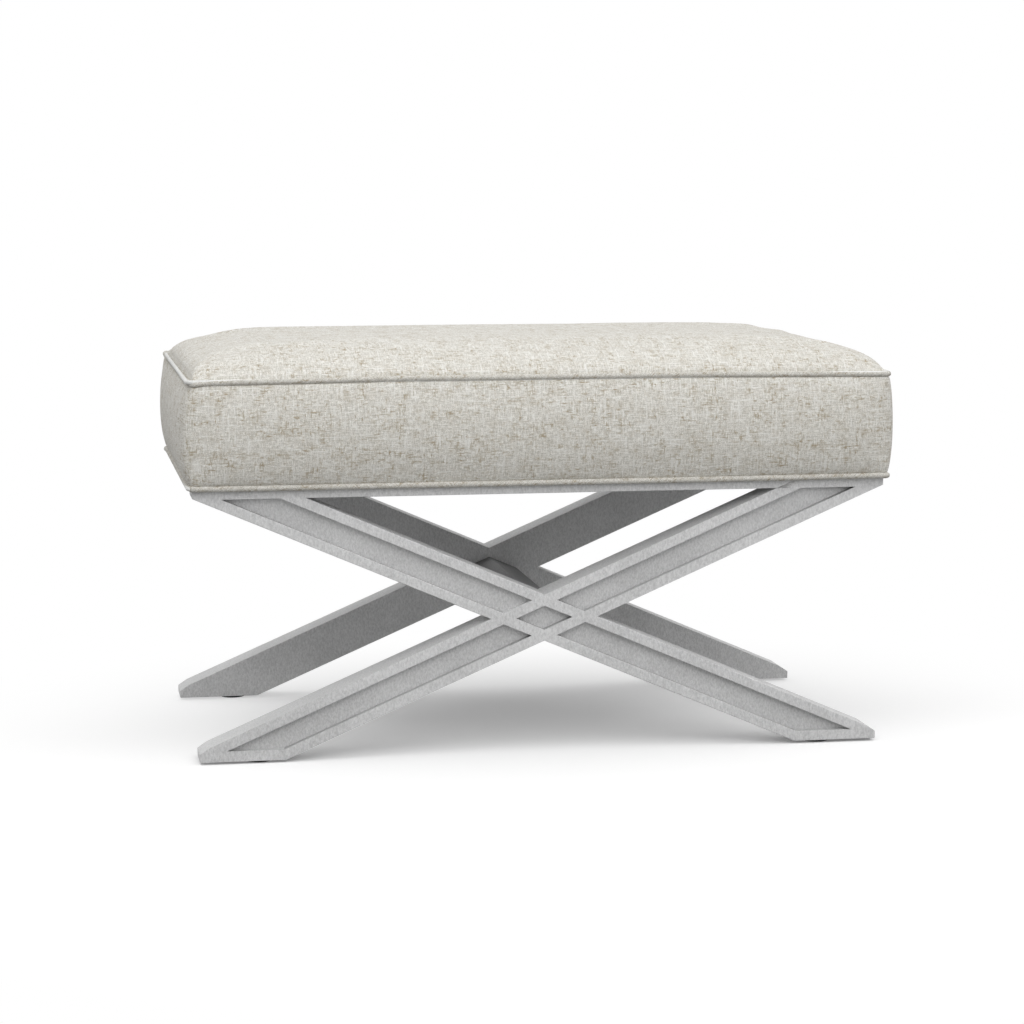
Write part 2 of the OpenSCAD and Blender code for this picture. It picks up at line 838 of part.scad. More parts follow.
band_panel(1);  // band_right
band_panel(2);  // band_rear
band_panel(3);  // band_left
welt(upper_welt_z);  // upper_welt
welt_cord(upper_welt_z);  // upper_welt_cord
welt(lower_welt_z);  // lower_welt
welt_cord(lower_welt_z);  // lower_welt_cord
dust_cover();
dust_cover_staples();
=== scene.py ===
"""Looks of the upholstered ottoman: its boxed seat, crossed frames, floor, light and camera."""

import math

import bmesh
import bpy
import numpy as np
from mathutils import Euler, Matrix, Vector, bvhtree, noise


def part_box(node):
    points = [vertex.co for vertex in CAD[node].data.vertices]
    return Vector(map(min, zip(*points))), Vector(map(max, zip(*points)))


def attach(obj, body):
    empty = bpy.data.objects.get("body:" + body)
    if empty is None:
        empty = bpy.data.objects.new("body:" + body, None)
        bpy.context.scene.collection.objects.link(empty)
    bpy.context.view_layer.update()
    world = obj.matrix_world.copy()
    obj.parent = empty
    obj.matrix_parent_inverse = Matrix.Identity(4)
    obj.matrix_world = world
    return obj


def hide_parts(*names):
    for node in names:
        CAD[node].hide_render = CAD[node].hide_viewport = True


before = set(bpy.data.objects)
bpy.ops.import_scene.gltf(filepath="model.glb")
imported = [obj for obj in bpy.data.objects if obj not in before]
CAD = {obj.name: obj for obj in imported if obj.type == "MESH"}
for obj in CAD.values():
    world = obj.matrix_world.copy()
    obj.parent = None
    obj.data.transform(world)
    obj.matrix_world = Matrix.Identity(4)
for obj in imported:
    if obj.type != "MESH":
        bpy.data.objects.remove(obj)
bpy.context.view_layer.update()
BODY = "root"
SCENE = bpy.context.scene

# Sizes that the frame gives
welt_low, welt_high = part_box("upper_welt")
WELT_R = (welt_high.z - welt_low.z) / 2
HALF_X = welt_high.x - WELT_R
HALF_Y = welt_high.y - WELT_R
UPPER_Z = welt_high.z - WELT_R
LOWER_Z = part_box("lower_welt")[1].z - WELT_R
CROWN_BASE = UPPER_Z + WELT_R
CROWN_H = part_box("cover_top")[1].z - CROWN_BASE
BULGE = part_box("band_right")[1].x - HALF_X
FRAME_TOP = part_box("front_top_rail")[1].z
FRAME_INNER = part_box("rear_top_rail")[0].y
OUTER_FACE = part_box("rear_top_rail")[1].y
HEM_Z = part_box("band_front")[0].z

# Form of the cushion
CROWN_RUN_X, CROWN_RUN_Y = 0.260, 0.125
CROWN_POWER_X, CROWN_POWER_Y = 2.5, 1.75
CROWN_SUM_POWER = 3.0
SINK_X, SINK_X_REACH = 0.25, 0.004
SINK_Y, SINK_Y_REACH = 0.50, 0.008
CORNER_R = 0.005
CORNER_SPREAD = 0.35
BULGE_POWER = 0.55
BULGE_CORNER_SHARE = 0.45
BULGE_REACH = 0.020

# Cells of the cover's mesh
CELLS_X, CELLS_Y = 122, 70
CELL_EASE = 1.3
PANEL_INSETS = (0.0030, 0.0036, 0.0046, 0.0062, 0.0085, 0.0116, 0.0156)
GRID_INSET = 0.0205
BAND_ROWS = 21
ROW_EVENNESS = 0.35
RISE_SHARES = (0.3, 0.65)

# How far inside the welts' lines the cloth is sewn, how it leaves the seams, and its hem
SEAM_INSET = 0.0028
TUCK_INSET, TUCK_H = 0.0022, 0.0026
HEM_W = 0.015
HEM_TURN_INSET = 0.0016
HEM_EDGE_INSET, HEM_EDGE_H = 0.0004, 0.0008

# Cosine and sine of the turn of each side: front, right, rear and left
SIDE_TURNS = ((1, 0), (0, 1), (-1, 0), (0, -1))
SIDE_ENDS = np.cumsum((CELLS_X, CELLS_Y, CELLS_X, CELLS_Y))
# Places on the roll of cloth from which each side of the band and the piping are cut
SIDE_SHIFT = (1.0, 2.2, 3.4, 4.6)
PIPING_SHIFT = 9.3


def power_sum(a, b, power):
    return (a**power + b**power) ** (1 / power)


def fall(from_edge, run, power):
    """How far the crown lies below its top, as a share, at a distance from an edge."""
    u = np.clip(1 - np.maximum(from_edge, 0) / run, 0, 1)
    return 1 - (1 - u**power) ** (1 / power)


def crown_z(x, y):
    """Height of the top panel, which sinks a little where it is sewn down."""
    in_x, in_y = HALF_X - np.abs(x), HALF_Y - np.abs(y)
    fall_x = fall(in_x, CROWN_RUN_X, CROWN_POWER_X)
    fall_y = fall(in_y, CROWN_RUN_Y, CROWN_POWER_Y)
    sink_x = SINK_X * np.exp(-(in_x - WELT_R) / SINK_X_REACH)
    sink_y = SINK_Y * np.exp(-(in_y - WELT_R) / SINK_Y_REACH)
    rise = np.maximum(0, 1 - power_sum(fall_x, fall_y, CROWN_SUM_POWER))
    return CROWN_BASE + CROWN_H * rise * (1 - sink_x) * (1 - sink_y)


def eased_line(cells):
    """Cell borders from -1 to 1 that lie closer together towards the ends."""
    t = np.linspace(-1, 1, cells + 1)
    return np.sign(t) * (1 - (1 - np.abs(t)) ** CELL_EASE)


def turned(along, out, side):
    """Places given along a side and out from it, turned to where that side lies."""
    c, s = SIDE_TURNS[side]
    return np.stack([along * c + out * s, along * s - out * c], 1)


def ring(inset, bulge=0.0):
    """Points round the cushion and their outward directions, at a distance inside the welts.

    The walk starts at the front left corner and runs to the right."""
    points, ways = [], []
    r = min(CORNER_R + CORNER_SPREAD * inset, HALF_Y - inset)
    for side in range(4):
        half, across, cells = HALF_X - inset, HALF_Y - inset, CELLS_X
        if side % 2:
            half, across, cells = across, half, CELLS_Y
        along = half * eased_line(cells)[:-1]
        to_corner = half - np.abs(along)
        turn = np.where(to_corner < r, np.pi / 4 * (1 - to_corner / r), 0)
        a = np.where(turn > 0, half - r + r * np.sin(turn), np.abs(along)) * np.sign(along)
        out = across - r * (1 - np.cos(turn))
        turn = turn * np.sign(along)
        from_corner = 1 - np.exp(-(half - np.abs(a)) / BULGE_REACH)
        fill = BULGE_CORNER_SHARE + (1 - BULGE_CORNER_SHARE) * from_corner
        a = a + bulge * fill * np.sin(turn)
        out = out + bulge * fill * np.cos(turn)
        points.append(turned(a, out, side))
        ways.append(turned(np.sin(turn), np.cos(turn), side))
    return np.concatenate(points), np.concatenate(ways)


def at_height(points, z):
    return np.column_stack([points, np.broadcast_to(z, len(points))])


def flat_ring(inset, z):
    return at_height(ring(inset)[0], z)


def on_crown(points):
    return at_height(points, crown_z(points[:, 0], points[:, 1]))


# Small shifts of the sewn line at each corner: outwards to the side, outwards to the front
# or back, and upwards at the upper welt
EARS = {
    (-1, -1): (-0.0026, 0.0010, -0.0012),
    (1, -1): (-0.0005, 0.0012, 0.0004),
    (1, 1): (0.0005, 0.0016, 0.0014),
    (-1, 1): (0.0012, 0.0016, 0.0034),
}
EAR_REACH = 0.012
# How far above and below the two welts their shifts are felt
UPPER_REACH, LOWER_REACH = 0.020, 0.016
# The left end is drawn in towards the front, more at the upper welt than at the lower one
DRAWN_UPPER, DRAWN_LOWER = 0.0028, 0.0012
DRAWN_REACH = 0.03
# Between the corners the upper welt lies a little higher and the lower one a little lower
MIDDLE_RISE, MIDDLE_DROP = 0.0009, 0.0004
DROOP = 0.0018
DROOP_POWER = 3.0
# Both welts wave a little, the lower one less
WELT_WAVE, WELT_WAVE_LENGTH = 0.0005, 0.11
LOWER_WAVE_SHARE = 0.6


def ear_shift(p):
    """Shifts of points near the sewn corners and lines of the two welts."""
    near_upper = np.exp(-(((p[:, 2] - UPPER_Z) / UPPER_REACH) ** 2))
    near_lower = np.exp(-(((p[:, 2] - LOWER_Z) / LOWER_REACH) ** 2))
    shift = np.zeros_like(p)
    for (sx, sy), (out_x, out_y, lift) in EARS.items():
        dx, dy = p[:, 0] - sx * HALF_X, p[:, 1] - sy * HALF_Y
        near = np.exp(-(dx**2 + dy**2) / EAR_REACH**2)
        shift[:, 0] += sx * out_x * near * (near_upper + near_lower)
        shift[:, 1] += sy * out_y * near * (near_upper + near_lower)
        shift[:, 2] += lift * near * near_upper
    to_front = np.clip((HALF_Y - p[:, 1]) / (2 * HALF_Y), 0, 1)
    at_left = np.exp(-(p[:, 0] + HALF_X) / DRAWN_REACH)
    shift[:, 0] += to_front * at_left * (DRAWN_UPPER * near_upper + DRAWN_LOWER * near_lower)
    edge = np.minimum(np.abs(p[:, 0]) / HALF_X, 1) ** DROOP_POWER
    shift[:, 2] += (MIDDLE_RISE * (1 - edge) - DROOP * edge) * near_upper
    shift[:, 2] -= MIDDLE_DROP * (1 - edge) * near_lower
    for i, q in enumerate(p):
        wave = WELT_WAVE * noise.noise(Vector(q) / WELT_WAVE_LENGTH)
        shift[i, 2] += wave * (near_upper[i] + LOWER_WAVE_SHARE * near_lower[i])
    return shift


# Stuffing isn't even: height, length and seed of its soft lumps
LUMPS = ((0.0006, 0.120, 3.0), (0.0003, 0.045, 11.0))


def lumps(points, normals):
    """Shifts of points along their own directions by the lumps of the stuffing."""
    shift = np.zeros(len(points))
    for height, length, seed in LUMPS:
        for i, q in enumerate(points):
            shift[i] += height * noise.noise(Vector(q) / length + Vector((seed, 0, 0)))
    return normals * shift[:, None]


def new_object(name, verts, faces, smooth=True):
    mesh = bpy.data.meshes.new(name)
    mesh.from_pydata([tuple(v) for v in verts], [], faces)
    mesh.update()
    if smooth:
        mesh.shade_smooth()
    obj = bpy.data.objects.new(name, mesh)
    SCENE.collection.objects.link(obj)
    return obj


def vectors_of(mesh, what):
    """The positions ("co") or directions ("normal") of a mesh's points."""
    values = np.empty(len(mesh.vertices) * 3)
    mesh.vertices.foreach_get(what, values)
    return values.reshape(-1, 3)


def put_positions(mesh, co):
    mesh.vertices.foreach_set("co", np.asarray(co, float).ravel())
    mesh.update()


def put_coordinates(mesh, uv):
    layer = mesh.uv_layers.new(name="cloth")
    layer.uv.foreach_set("vector", uv.astype(np.float32).ravel())


# Cover

def band_profile():
    """Rows of the cover from the hem's inner edge up to the upper seam, and whether each is held."""
    rows = [
        flat_ring(WELT_R + HEM_W, HEM_Z),
        flat_ring(WELT_R + HEM_TURN_INSET, HEM_Z),
        flat_ring(WELT_R + HEM_EDGE_INSET, HEM_Z + HEM_EDGE_H),
        flat_ring(SEAM_INSET, LOWER_Z),
        flat_ring(TUCK_INSET, LOWER_Z + TUCK_H),
    ]
    held = [True] * len(rows)
    low_z, high_z = LOWER_Z + WELT_R, UPPER_Z - WELT_R
    for j in range(BAND_ROWS + 1):
        eased = 0.5 - 0.5 * math.cos(math.pi * j / BAND_ROWS)
        t = ROW_EVENNESS * j / BAND_ROWS + (1 - ROW_EVENNESS) * eased
        bulge = BULGE * math.sin(math.pi * t) ** BULGE_POWER if 0 < t < 1 else 0.0
        rows.append(at_height(ring(0.0, bulge)[0], low_z + t * (high_z - low_z)))
        held.append(j in (0, BAND_ROWS))
    rows += [flat_ring(TUCK_INSET, UPPER_Z - TUCK_H), flat_ring(SEAM_INSET, UPPER_Z)]
    return rows, [*held, True, True]


def panel_rows(seam_row):
    """Rows of the top panel from the upper seam inwards to its middle grid."""
    first = on_crown(ring(PANEL_INSETS[0])[0])
    rows = [seam_row * (1 - share) + first * share for share in RISE_SHARES]
    return rows + [on_crown(ring(inset)[0]) for inset in PANEL_INSETS]


def border_walk():
    """Places in the middle grid's border, in the order of a ring's points."""
    return (
        [(i, 0) for i in range(CELLS_X)]
        + [(CELLS_X, j) for j in range(CELLS_Y)]
        + [(i, CELLS_Y) for i in range(CELLS_X, 0, -1)]
        + [(0, j) for j in range(CELLS_Y, 0, -1)]
    )


def middle_grid():
    """Points of the top panel's middle, a grid whose border is one more ring."""
    grid = np.empty((CELLS_X + 1, CELLS_Y + 1, 2))
    grid[:, :, 0] = (HALF_X - GRID_INSET) * eased_line(CELLS_X)[:, None]
    grid[:, :, 1] = (HALF_Y - GRID_INSET) * eased_line(CELLS_Y)[None, :]
    for (i, j), point in zip(border_walk(), ring(GRID_INSET)[0]):
        grid[i, j] = point
    return on_crown(grid.reshape(-1, 2))


def cover_faces(rows, count):
    """Faces of the cover: strips between its rows, a strip on to the grid, and the grid's cells."""
    faces = []
    for j in range(rows - 1):
        for i in range(count):
            a, b = j * count + i, j * count + (i + 1) % count
            faces.append((a, b, b + count, a + count))
    last, start, column = (rows - 1) * count, rows * count, CELLS_Y + 1
    border = [start + i * column + j for i, j in border_walk()]
    for k in range(count):
        after = (k + 1) % count
        faces.append((last + k, last + after, border[after], border[k]))
    for i in range(CELLS_X):
        for j in range(CELLS_Y):
            a = start + i * column + j
            faces.append((a, a + column, a + column + 1, a + 1))
    return faces


def arc_table(run, power, half):
    """Length of the crown's profile from the edge to each distance inside it."""
    s = np.concatenate([[0], np.geomspace(1e-4, half, 400)])
    z = CROWN_H * (1 - fall(s, run, power))
    return s, np.concatenate([[0], np.cumsum(np.hypot(np.diff(s), np.diff(z)))])


def panel_coordinates(x, y):
    """Places on the top panel's cloth, measured along its crown from the middle."""
    places = []
    for v, run, power, half in (
        (x, CROWN_RUN_X, CROWN_POWER_X, HALF_X), (y, CROWN_RUN_Y, CROWN_POWER_Y, HALF_Y)
    ):
        s, length = arc_table(run, power, half)
        places.append(np.sign(v) * (length[-1] - np.interp(half - np.abs(v), s, length)))
    return np.stack(places, -1)


def band_heights(band):
    """Height of each row of the band, measured along its cloth."""
    steps = np.linalg.norm(np.diff(band, axis=0), axis=2)
    return np.concatenate([np.zeros((1, band.shape[1])), np.cumsum(steps, 0)]).mean(1)


def summed_inwards(steps):
    """For each row, the sum of the steps from it to the innermost row."""
    return np.concatenate([np.cumsum(steps[::-1], 0)[::-1], np.zeros((1, steps.shape[1]))])


def ring_places(rings):
    """Places on the cloth of the top panel's rings, which carry on outwards from the grid."""
    border, ways = ring(GRID_INSET)
    tangents = np.column_stack([-ways[:, 1], ways[:, 0]])
    inward = np.diff(np.concatenate([rings, on_crown(border)[None]]), axis=0)
    slide = (inward[:, :, :2] * tangents[None]).sum(2)
    steps = np.sqrt(np.maximum((inward**2).sum(2) - slide**2, 0))
    places = panel_coordinates(border[:, 0], border[:, 1])[None]
    places = places + summed_inwards(steps)[:, :, None] * ways[None]
    places = places - summed_inwards(slide)[:, :, None] * tangents[None]
    return places[:-1].reshape(-1, 2)


def side_of(ids, count):
    """The side on which a face of the band lies: 0 to 3 for front, right, rear and left."""
    first, last = min(ids) % count, max(ids) % count
    column = first if last - first <= 1 else count - 1
    return int(np.searchsorted(SIDE_ENDS, column, side="right"))


def cloth_coordinates(mesh, band_rows, rows, count):
    """A UV map in metres along the cloth: the top panel's own, and one for each side of the band."""
    co = vectors_of(mesh, "co")
    seam = (band_rows - 1) * count
    up = band_heights(co[: seam + count].reshape(band_rows, count, 3))
    rings = ring_places(co[seam : rows * count].reshape(-1, count, 3))
    panel = np.concatenate([rings, panel_coordinates(co[rows * count :, 0], co[rows * count :, 1])])
    uv = np.zeros((len(mesh.loops), 2))
    for poly in mesh.polygons:
        ids = list(poly.vertices)
        if max(ids) >= seam + count:
            for loop, v in zip(poly.loop_indices, ids):
                uv[loop] = panel[v - seam]
            continue
        side = side_of(ids, count)
        for loop, v in zip(poly.loop_indices, ids):
            along = (co[v][0], co[v][1], -co[v][0], -co[v][1])[side]
            uv[loop] = (SIDE_SHIFT[side] + along, up[v // count])
    put_coordinates(mesh, uv)


# Blowing up the cover: cloth settings, steps, the most that a point moves, and how often its
# move is averaged with its neighbours' to find the wide swell that is taken out again
CLOTH = {
    "quality": 6,
    "mass": 0.3,
    "tension_stiffness": 60,
    "compression_stiffness": 60,
    "shear_stiffness": 20,
    "bending_stiffness": 4,
    "air_damping": 4,
    "use_pressure": True,
    "uniform_pressure_force": 4.0,
}
SETTLE_FRAMES = 20
MOST_MOVE = 0.003
BROAD_ROUNDS = 90


def blown_up(obj, held):
    """Positions of the cover after its cloth is blown up against the held seams."""
    group = obj.vertex_groups.new(name="held")
    group.add(held, 1.0, "REPLACE")
    modifier = obj.modifiers.new("cloth", "CLOTH")
    for key, value in CLOTH.items():
        setattr(modifier.settings, key, value)
    modifier.settings.vertex_group_mass = group.name
    modifier.settings.effector_weights.gravity = 0
    modifier.collision_settings.use_collision = False
    modifier.point_cache.frame_start = 1
    modifier.point_cache.frame_end = SETTLE_FRAMES
    for step in range(1, SETTLE_FRAMES + 1):
        SCENE.frame_set(step)
    shaped = obj.evaluated_get(bpy.context.evaluated_depsgraph_get())
    co = vectors_of(shaped.data, "co")
    obj.modifiers.remove(modifier)
    obj.vertex_groups.clear()
    SCENE.frame_set(1)
    return co


def settle(obj, held):
    """Blows the cover up against its own seams, and keeps the result in the mesh."""
    rest = vectors_of(obj.data, "co")
    moved = blown_up(obj, held) - rest
    reach = np.linalg.norm(moved, axis=1)
    soft = MOST_MOVE * np.tanh(reach / MOST_MOVE) / np.maximum(reach, 1e-9)
    kept = moved * soft[:, None]
    put_positions(obj.data, rest + kept - broad_part(obj.data, kept))


def neighbour_sums(values, a, b):
    """For each point, the sum of a value over the points that edges join to it."""
    return np.bincount(a, values[b], len(values)) + np.bincount(b, values[a], len(values))


def broad_part(mesh, values):
    """The values spread out over the mesh, so that only their wide swell is left."""
    edges = np.empty(len(mesh.edges) * 2, int)
    mesh.edges.foreach_get("vertices", edges)
    a, b = edges.reshape(-1, 2).T
    count = np.bincount(edges, minlength=len(values))[:, None]
    for _ in range(BROAD_ROUNDS):
        total = np.stack([neighbour_sums(column, a, b) for column in values.T], 1)
        values = (values + total / count) / 2
    return values


def close_below(obj):
    """Subdivides the open cover once, and then closes its underside inside the hem."""
    smooth = obj.modifiers.new("smooth", "SUBSURF")
    smooth.levels = 1
    smooth.uv_smooth = "NONE"
    fine = bpy.data.meshes.new_from_object(obj.evaluated_get(bpy.context.evaluated_depsgraph_get()))
    obj.modifiers.remove(smooth)
    obj.data = fine
    bm = bmesh.new()
    bm.from_mesh(fine)
    rim = [e for e in bm.edges if e.is_boundary]
    under = bmesh.ops.edgeloop_fill(bm, edges=rim)["faces"]
    layer = bm.loops.layers.uv["cloth"]
    for face in under:
        face.smooth = False
        for loop in face.loops:
            loop[layer].uv = loop.vert.co.xy
    bmesh.ops.recalc_face_normals(bm, faces=bm.faces)
    bm.to_mesh(fine)
    bm.free()


def seat_cover():
    """The whole cover: sewn corners, uneven stuffing, swell between the seams, and its hem."""
    band, held_rows = band_profile()
    rows = band + panel_rows(band[-1])
    count = len(band[0])
    held = [j * count + i for j, h in enumerate(held_rows) if h for i in range(count)]
    verts = np.concatenate([*rows, middle_grid()])
    obj = new_object("seat_cover", verts, cover_faces(len(rows), count))
    cloth_coordinates(obj.data, len(band), len(rows), count)
    shape = vectors_of(obj.data, "co")
    free = np.ones(len(shape), bool)
    free[held] = False
    bumps = lumps(shape, vectors_of(obj.data, "normal"))
    put_positions(obj.data, shape + ear_shift(shape) + bumps * free[:, None])
    settle(obj, held)
    close_below(obj)
    return obj


# Welts: cords wrapped in the cover's cloth, which is cut on the bias
WELT_STEP = 0.0026
WELT_SIDES = 14
WELT_SWELL, WELT_SWELL_LENGTH = 0.05, 0.017
LOWER_WELT_MORE = 0.0004
BIAS = 0.7071
UP = np.array([0, 0, 1.0])


def resampled(line, step):
    """The closed line with evenly spaced points."""
    loop = np.vstack([line, line[:1]])
    length = np.concatenate([[0], np.cumsum(np.linalg.norm(np.diff(loop, axis=0), axis=1))])
    at = np.linspace(0, length[-1], round(length[-1] / step), endpoint=False)
    return np.column_stack([np.interp(at, length, loop[:, i]) for i in range(3)])


def tube(line, radius):
    """Points and faces of a slightly uneven tube round a closed line."""
    ahead = np.roll(line, -1, 0) - np.roll(line, 1, 0)
    ahead /= np.linalg.norm(ahead, axis=1)[:, None]
    out = np.cross(ahead, UP)
    out /= np.linalg.norm(out, axis=1)[:, None]
    top = np.cross(out, ahead)
    verts, faces = [], []
    for i in range(len(line)):
        swell = 1 + WELT_SWELL * noise.noise(Vector(line[i]) / WELT_SWELL_LENGTH)
        for k in range(WELT_SIDES):
            a = 2 * math.pi * k / WELT_SIDES
            verts.append(line[i] + radius * swell * (math.cos(a) * out[i] + math.sin(a) * top[i]))
    for i in range(len(line)):
        here, after = i * WELT_SIDES, (i + 1) % len(line) * WELT_SIDES
        for k in range(WELT_SIDES):
            beside = (k + 1) % WELT_SIDES
            faces.append((here + k, after + k, after + beside, here + beside))
    return verts, faces


def bias_coordinates(mesh, step, radius):
    """A UV map in metres of a tube's cloth, whose threads run aslant round the cord."""
    last = len(mesh.vertices) // WELT_SIDES - 1
    uv = np.empty((len(mesh.loops), 2))
    for poly in mesh.polygons:
        face_i, face_k = divmod(poly.index, WELT_SIDES)
        for loop, v in zip(poly.loop_indices, poly.vertices):
            i, k = divmod(v, WELT_SIDES)
            if face_i == last and i == 0:
                i = last + 1
            if face_k == WELT_SIDES - 1 and k == 0:
                k = WELT_SIDES
            s, t = i * step, k / WELT_SIDES * 2 * math.pi * radius
            uv[loop] = (PIPING_SHIFT + BIAS * (s + t), BIAS * (s - t))
    put_coordinates(mesh, uv)


def welt(name, z, radius):
    """A cord wrapped in the cover's cloth, along the sewn line."""
    line = flat_ring(0.0, z)
    line = resampled(line + ear_shift(line), WELT_STEP)
    obj = new_object(name, *tube(line, radius))
    bias_coordinates(obj.data, np.linalg.norm(line[1] - line[0]), radius)
    return obj


# Frames: the CAD solids with softened outer edges
FRAME_NODES = (
    ("front_leg_rising", "front_leg_falling", "front_top_rail"),
    ("rear_leg_rising", "rear_leg_falling", "rear_top_rail"),
)
EDGE_R = 0.0009
EDGE_CELLS = 3
# Edges that are shorter than this many radii or flatter than this angle stay as they are
SHORTEST_EDGE = 3
LEAST_BEND, FLAT_BEND, SHADED_BEND = math.radians(15), math.radians(0.5), math.radians(35)
# Distances for merging points, cutting faces and stepping on along a ray
MERGE, CUT, RAY_STEP = 1e-5, 1e-6, 1e-6
# How far off an edge it is tested whether a joined piece carries on there
PROBE = 0.0004
SLANTED = Vector((0.303, 0.211, 0.929)).normalized()


def solid_tree(name):
    mesh = CAD[name].data
    points = [v.co for v in mesh.vertices]
    return bvhtree.BVHTree.FromPolygons(points, [tuple(p.vertices) for p in mesh.polygons])


def inside(tree, point):
    """Whether a point lies in a closed mesh, by the faces that a slanted ray passes."""
    hits, at = 0, point
    while True:
        hit, _, _, _ = tree.ray_cast(at, SLANTED)
        if hit is None:
            return hits % 2 == 1
        hits += 1
        at = hit + SLANTED * RAY_STEP


def outer_edges(bm, others):
    """Edges to round: convex ones, but not where a joined piece carries on the solid's faces."""
    trees = [solid_tree(o) for o in others]
    edges = []
    for e in bm.edges:
        if not e.is_manifold or not e.is_convex or e.calc_face_angle() < LEAST_BEND:
            continue
        if e.calc_length() < SHORTEST_EDGE * EDGE_R:
            continue
        middle = (e.verts[0].co + e.verts[1].co) / 2
        n1, n2 = (f.normal for f in e.link_faces)
        spots = [middle + PROBE * (n1 - n2), middle + PROBE * (n2 - n1)]
        if not any(inside(t, s) for t in trees for s in spots):
            edges.append(e)
    return edges


def softened(name, others, planes):
    """The node's solid with its outer edges rounded, cut first at the planes of its neighbours."""
    bm = bmesh.new()
    bm.from_mesh(CAD[name].data)
    bmesh.ops.remove_doubles(bm, verts=bm.verts, dist=MERGE)
    bmesh.ops.dissolve_limit(bm, angle_limit=FLAT_BEND, verts=bm.verts, edges=bm.edges)
    for co, no in planes:
        whole = [*bm.verts, *bm.edges, *bm.faces]
        bmesh.ops.bisect_plane(bm, geom=whole, dist=CUT, plane_co=co, plane_no=no)
    bmesh.ops.bevel(
        bm, geom=outer_edges(bm, others), offset=EDGE_R, offset_type="OFFSET",
        segments=EDGE_CELLS, profile=0.5, affect="EDGES", clamp_overlap=True,
    )
    mesh = bpy.data.meshes.new(name + "_finished")
    bm.to_mesh(mesh)
    bm.free()
    obj = bpy.data.objects.new(name + "_finished", mesh)
    SCENE.collection.objects.link(obj)
    mesh.shade_smooth()
    mesh.set_sharp_from_angle(angle=SHADED_BEND)
    weights = obj.modifiers.new("even_faces", "WEIGHTED_NORMAL")
    weights.keep_sharp = True
    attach(obj, BODY)
    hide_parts(name)
    return obj


def leg_planes():
    """Planes of the legs' long faces and of the rails' underside, where the pieces meet.

    The slope of the legs is that of the rails' sloped ends."""
    crossing = Vector((0, 0, (FRAME_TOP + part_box("front_leg_rising")[0].z) / 2))
    low_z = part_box("front_top_rail")[0].z
    rail = vectors_of(CAD["front_top_rail"].data, "co")
    low_x = rail[rail[:, 2] < low_z + MERGE][:, 0].max()
    slope = math.atan2(FRAME_TOP - low_z, rail[:, 0].max() - low_x)
    aslant = Vector((-math.sin(slope), 0, math.cos(slope)))
    half_w = abs((Vector((low_x, 0, low_z)) - crossing).dot(aslant))
    planes = [(Vector((0, 0, low_z)), Vector((0, 0, 1)))]
    for side in (-1, 1):
        across = Vector((side * aslant.x, 0, aslant.z))
        planes += [(crossing + across * half_w, across), (crossing - across * half_w, across)]
    return planes


def finished_frames():
    """Softened pieces for the legs, the rails and the stretcher."""
    planes = leg_planes()
    pieces = []
    for names in FRAME_NODES:
        for name in names:
            others = [o for o in names if o != name] + ["stretcher"]
            pieces.append(softened(name, others, planes))
    pieces.append(softened("stretcher", ["front_leg_falling", "rear_leg_falling"], []))
    return pieces


# Dust cover: a cambric sheet stapled up under the seat, which sags a little between the frames
DUST_CELLS_X, DUST_CELLS_Y = 110, 60
DUST_SAG = 0.0030
DUST_RIPPLE, DUST_RIPPLE_LENGTH = 0.0006, 0.035


def dust_faces():
    """Faces of the two layers of the sheet's mesh, and of the strip along its rim."""
    across = DUST_CELLS_Y + 1
    layer = (DUST_CELLS_X + 1) * across
    faces = []
    for i in range(DUST_CELLS_X):
        for j in range(DUST_CELLS_Y):
            a = i * across + j
            below = (a, a + 1, a + across + 1, a + across)
            faces += [below, tuple(layer + v for v in reversed(below))]
    rim = [i * across for i in range(DUST_CELLS_X)]
    rim += [DUST_CELLS_X * across + j for j in range(DUST_CELLS_Y)]
    rim += [i * across + DUST_CELLS_Y for i in range(DUST_CELLS_X, 0, -1)]
    rim += list(range(DUST_CELLS_Y, 0, -1))
    for a, b in zip(rim, rim[1:] + rim[:1]):
        faces.append((a, b, layer + b, layer + a))
    return faces


def dust_sheet():
    """The sheet and its flat size."""
    low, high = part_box("dust_cover")
    verts = []
    for z in (low.z, high.z):
        for x in np.linspace(low.x, high.x, DUST_CELLS_X + 1):
            for y in np.linspace(low.y, high.y, DUST_CELLS_Y + 1):
                free = max(0, 1 - (y / FRAME_INNER) ** 2) * max(0, 1 - (x / high.x) ** 2)
                ripple = DUST_RIPPLE * noise.noise(Vector((x, y, 0)) / DUST_RIPPLE_LENGTH)
                verts.append((x, y, z - free * (DUST_SAG + ripple)))
    return new_object("dust_cover_cloth", verts, dust_faces()), (high.x - low.x, high.y - low.y)


# Materials

